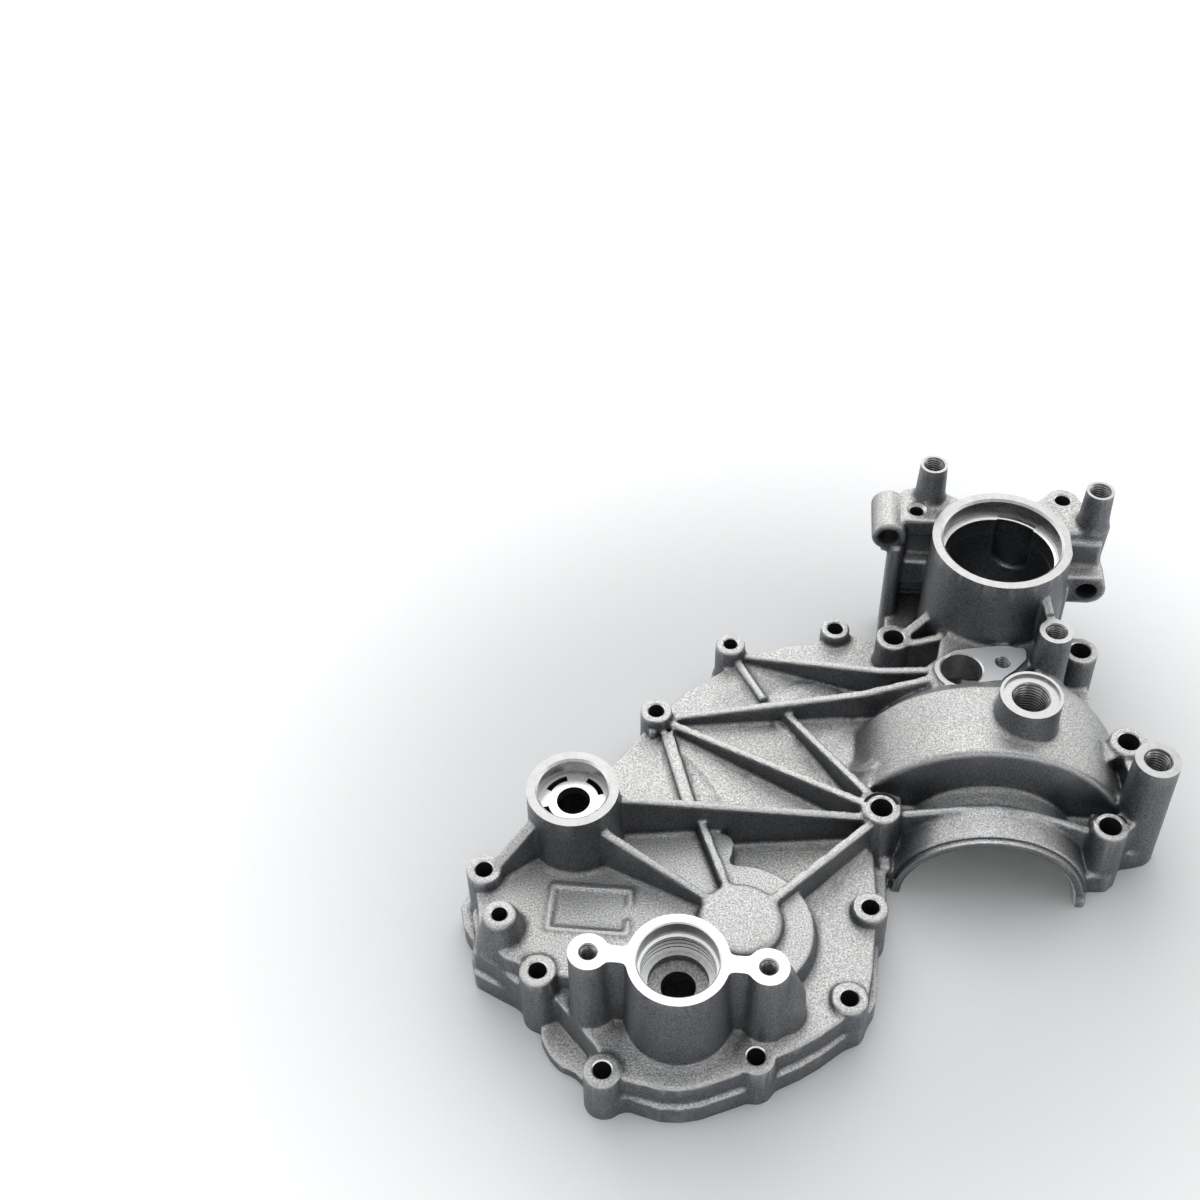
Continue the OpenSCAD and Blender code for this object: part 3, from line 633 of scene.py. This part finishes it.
def faces():
    """Cutters of the flat machined faces."""
    bm = bmesh.new()
    # front ring with its ears
    extruded(bm, [(-165, -98), (-62, -98), (-62, -50), (-165, -50)], RING_TOP, RING_TOP + 6)
    all_turned = [(200, 2)]
    for (x, y), r, top in ((RING_B, 24, RING_TOP), (TOWER, 31.5, TOWER_TOP), (SIDE_BOSS[:2], 12, SIDE_BOSS[2]),
                           (NEAR_BOSS[:2], 8.6, NEAR_BOSS[2]), (POSTS[0], 9, POST_TOP), (POSTS[1], 9, POST_TOP)):
        lathe(bm, [(r, top), (r, top + 6)], x, y, 64, all_turned)
    lathe(bm, [(10.5, PLUG_FACE), (10.5, 67.9), (16, 67.9), (16, 74)], *PLUG, 96, all_turned)
    # milled pad, a millimetre past its outline
    grown = []
    cx = sum(p[0] for p in PAD_OUTLINE) / len(PAD_OUTLINE)
    cy = sum(p[1] for p in PAD_OUTLINE) / len(PAD_OUTLINE)
    for px, py in PAD_OUTLINE:
        d = Vector((px - cx, py - cy))
        d = d * (1 + 1.0 / d.length)
        grown.append((cx + d.x, cy + d.y))
    extruded(bm, grown, PAD_TOP, PAD_TOP + 6, 1)
    # joint face
    extruded(bm, [(-260, -160), (120, -160), (120, 220), (-260, 220)], -12, 0)
    return bm


def threads():
    """Tap-shaped cutters of the threaded holes."""
    bm = bmesh.new()
    thread_cutter(bm, *SIDE_BOSS[:2], 31.6, SIDE_BOSS[2], *THREAD_M10)
    thread_cutter(bm, *NEAR_BOSS[:2], 43.0, NEAR_BOSS[2], *THREAD_M8, steps=36)
    for x, y in POSTS:
        thread_cutter(bm, x, y, 71.0, POST_TOP, *THREAD_M8, steps=36)
    for x, y in EARS:
        thread_cutter(bm, x, y, 41.0, RING_TOP, *THREAD_M6, steps=32)
    thread_cutter(bm, *PLUG, 45.0, PLUG_FACE, *THREAD_M14, steps=48)
    thread_cutter(bm, *PAD_SCREW, 37.0, PAD_TOP, *THREAD_M6_PAD, steps=32)
    return bm


def kidney_slots():
    """Cutters of the four curved oil slots in the floor of the left ring."""
    bm = bmesh.new()
    for k in range(4):
        extruded(bm, arc_band(*RING_B, 9.4, 11.6, 20 + 90 * k, 48, 12), 42, 52)
    return bm


def radial_outline(bm, points, angle, near, far, centre, z_mid):
    """Straight body whose outline (across, up) stands across a radius of the bore round centre."""
    out = Vector((math.cos(angle), math.sin(angle)))
    side = Vector((-out.y, out.x))
    rings = []
    for reach in (near, far):
        base = Vector(centre) + out * reach
        rings.append([bm.verts.new(((base.x + side.x * u) * MM, (base.y + side.y * u) * MM, (z_mid + v) * MM))
                      for u, v in points])
    prism(bm, *rings)


def cast_pockets():
    """Cutters of what is cast and not machined: tower pocket, flat on its rim, troughs at the seat bolts, step."""
    bm = bmesh.new()
    half = 7.8
    pocket = arc_points(0, 0, half, 180, 180, 12) + [(half, 18.2), (-half, 18.2)]
    radial_outline(bm, pocket, math.radians(68), 17.0, 24.2, TOWER, 49.5)
    extruded(bm, [(29.9, 108), (34, 108), (34, 130), (29.9, 130)], TOWER_PLATE + 0.2, TOWER_TOP + 3)
    for x, y, top, hole_r in SEAT_BOLTS:
        extruded(bm, arc_band(x, y, hole_r + 1.3, hole_r + 2.9, 14, 152, 14), top - 3.2, top + 4)
    # step behind the front rim of the seat collar
    before = len(bm.verts)
    extruded(bm, arc_band(0, 0, 35.9, 39.0, 9, 162, 60), -3.0, 0.8)
    laid_along_y(bm, before)
    return bm


def shaft_seat():
    """Cutter of the half round shaft seat."""
    bm = bmesh.new()
    lathe(bm, [(SEAT_R + 0.6, -12), (SEAT_R + 0.6, -1.3), (SEAT_R, -0.7), (SEAT_R, 29.4), (SEAT_R + 0.5, 30),
               (SEAT_R + 0.5, 31)], 0, 0, 128)
    laid_along_y(bm)
    return bm


def cut(work, cutter, finishes):
    """Takes cutter away from work; the new faces take the finishes that the cutter carries."""
    for finish in finishes:
        cutter.data.materials.append(finish)
    boolean = work.modifiers.new("cut", "BOOLEAN")
    boolean.operation = "DIFFERENCE"
    boolean.solver = "MANIFOLD"
    boolean.object = cutter
    boolean.material_mode = "TRANSFER"
    applied(work)
    bpy.data.objects.remove(cutter)


def carry_bend(obj, co, bend):
    """Gives each point of the finished mesh the bend of a near point of the blank; every second one is enough."""
    co, bend = co[::2], bend[::2]
    tree = KDTree(len(co))
    for i, p in enumerate(co):
        tree.insert(p, i)
    tree.balance()
    values = [bend[tree.find(v.co)[1]] for v in obj.data.vertices]
    attribute = obj.data.attributes.new("bend", "FLOAT", "POINT")
    attribute.data.foreach_set("value", np.array(values, np.float32))


def finished_casting(node):
    """The rough blank after all its machining. A cutter's faces take the finishes listed beside it, by number."""
    cast = cast_finish()
    bright = machined_finish("Machined_Aluminium", 0.84, 0.94)
    # dimmer copy of the machined finish: painted shade in the bores and on the thread crests; it also makes the
    # turned faces darker than the milled ones
    turned = machined_finish("Dim_Machined_Shade_Copy", 0.46, 0.56)
    # near black inside holes, slots and snap grooves: painted shade
    bore_shade = plain_finish("Painted_Bore_Shade", (0.055, 0.055, 0.058), 0.3, 0.55)
    # less metallic than the other machined faces, so the pad stays bright where the tower hides the lamp from its
    # reflection: painted light
    milled = plain_finish("Milled_Pad_Lit_Copy", (0.88, 0.89, 0.91), 0.30, 0.45)
    # dark thread roots: painted shade
    root = plain_finish("Thread_Root_Shade", (0.12, 0.12, 0.12), 0.6, 0.4)
    blank, co, bend = cast_blank(node)
    decimated(blank, BLANK_TRIANGLES)
    blank.data.materials.clear()
    blank.data.materials.append(cast)
    for make, finishes in ((bores, [bright, bore_shade, cast, turned]), (faces, [bright, milled, turned]),
                           (threads, [turned, root]), (kidney_slots, [bore_shade]), (shaft_seat, [bright]),
                           (cast_pockets, [cast])):
        cut(blank, to_object(make.__name__ + "_cutter", make()), finishes)
    blank.data.shade_smooth()
    blank.data.set_sharp_from_angle(angle=math.radians(35))
    blank.name = "casting"
    blank.data.name = "casting"
    carry_bend(blank, co, bend)
    return blank


# ---------------------------------------------------------------- studio
def camera_like_photo():
    cam_data = bpy.data.cameras.new("photo_camera")
    cam_data.sensor_width = 36.0
    cam_data.lens = FOCAL_PX * cam_data.sensor_width / PHOTO_PX
    cam_data.clip_start = 0.01
    cam = new_object("photo_camera", cam_data)
    roll = math.radians(CAMERA_ROLL)
    forward = Vector(CAMERA_FORWARD).normalized()
    level = Vector(CAMERA_RIGHT).normalized()
    below = forward.cross(level).normalized()
    right = level * math.cos(roll) + below * math.sin(roll)
    down = below * math.cos(roll) - level * math.sin(roll)
    pose = Matrix((right, -down, -forward)).transposed().to_4x4()
    pose.translation = Vector(CAMERA_PLACE)
    cam.matrix_world = pose
    bpy.context.scene.camera = cam


def soft_box(name, place, target, size, power, colour):
    """Rectangular lamp at place that shines at target: metres and watts."""
    data = bpy.data.lights.new(name, "AREA")
    data.shape = "RECTANGLE"
    data.size, data.size_y = size
    data.energy = power
    data.color = colour
    lamp = new_object(name, data)
    lamp.location = place
    aim = Vector(target) - Vector(place)
    lamp.rotation_euler = aim.to_track_quat("-Z", "Y").to_euler()


def sky():
    """Soft sky, brightest a little behind the zenith and dim towards the sides."""
    world = bpy.data.worlds.new("studio")
    bpy.context.scene.world = world
    world.use_nodes = True
    tree = world.node_tree
    back = tree.nodes["Background"]
    place = tree.nodes.new("ShaderNodeTexCoord")
    lean = tree.nodes.new("ShaderNodeVectorMath")
    lean.operation = "DOT_PRODUCT"
    lean.inputs[1].default_value = (0.03, 0.36, 0.93)
    connect(tree, lean.inputs[0], place.outputs["Generated"])
    slope = calculated(tree, "POWER", ranged(tree, lean.outputs["Value"], -0.1, 1.0), 2.5)
    strength = calculated(tree, "ADD", calculated(tree, "MULTIPLY", slope, 1.46), 0.05)
    back.inputs["Color"].default_value = (0.97, 0.985, 1.0, 1)
    connect(tree, back.inputs["Strength"], strength)


def backdrop():
    """Floor that sweeps up to a round wall far behind the casting."""
    bm = bmesh.new()
    sweep = ((800, 0), (2200, 0), (2500, 50), (2720, 180), (2880, 420), (2950, 800), (2950, 1700))
    rings = [ring_of_points(bm, 0, 0, [r] * 96, z) for r, z in sweep]
    bm.faces.new(rings[0])
    for low, high in zip(rings, rings[1:]):
        wall(bm, low, high)
    for face in bm.faces:
        face.smooth = len(face.verts) == 4
    floor = to_object("floor", bm)
    floor.location = (0, 0, -0.2 * MM)
    floor.data.materials.append(floor_finish())


def studio():
    sky()
    soft_box("back_top_light", (-0.25, 1.05, 1.0), (-0.06, 0.03, 0.02), (1.3, 0.9), 3.2, (1.0, 0.99, 0.97))
    backdrop()


bpy.context.scene.view_settings.view_transform = "Standard"
camera_like_photo()
studio()
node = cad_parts["housing_casting"]
casting = finished_casting(node)
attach(casting, "root")
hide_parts("housing_casting")

bpy.context.view_layer.update()
